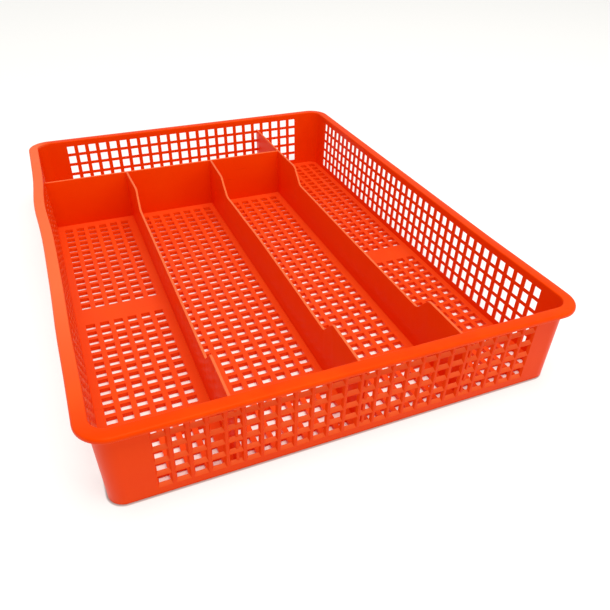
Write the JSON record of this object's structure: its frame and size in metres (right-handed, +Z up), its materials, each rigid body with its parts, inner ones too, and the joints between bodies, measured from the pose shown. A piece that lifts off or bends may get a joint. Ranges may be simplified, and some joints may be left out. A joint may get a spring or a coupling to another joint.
{
  "type": "cutlery tray",
  "caption": "Open rectangular cutlery tray in perforated moulded plastic, with drafted grille walls, a flanged rim, a grille floor and dividers that form lengthwise bays and a cross bay.",
  "frame": {"origin": "on the resting plane, under the middle of the tray", "axes": "+Z up, +Y from the front wall to the back wall along the tray's length, +X across the tray to the right as seen from the front"},
  "size_m": [0.2892, 0.3888, 0.056],
  "materials": {
    "plastic": "satin to gloss moulded polypropylene, red-orange"
  },
  "bodies": {
    "root": {"base_corner_back_left": "plastic", "base_corner_back_right": "plastic", "base_corner_front_left": "plastic", "base_corner_front_right": "plastic", "base_edge_back": "plastic", "base_edge_front": "plastic", "base_edge_left": "plastic", "base_edge_right": "plastic", "divider_back": "plastic", "divider_cross": "plastic", "divider_left": "plastic", "divider_middle": "plastic", "divider_right": "plastic", "floor_back_bay": "plastic", "floor_band_left": "plastic", "floor_band_right": "plastic", "floor_left_bay_back": "plastic", "floor_left_bay_front": "plastic", "floor_right_bay_back": "plastic", "floor_right_bay_front": "plastic", "floor_second_bay": "plastic", "floor_third_bay": "plastic", "rim_back": "plastic", "rim_corner_back_left": "plastic", "rim_corner_back_right": "plastic", "rim_corner_front_left": "plastic", "rim_corner_front_right": "plastic", "rim_front": "plastic", "rim_left": "plastic", "rim_right": "plastic", "wall_back": "plastic", "wall_corner_back_left": "plastic", "wall_corner_back_right": "plastic", "wall_corner_front_left": "plastic", "wall_corner_front_right": "plastic", "wall_front": "plastic", "wall_left": "plastic", "wall_right": "plastic"}
  },
  "joints": []
}
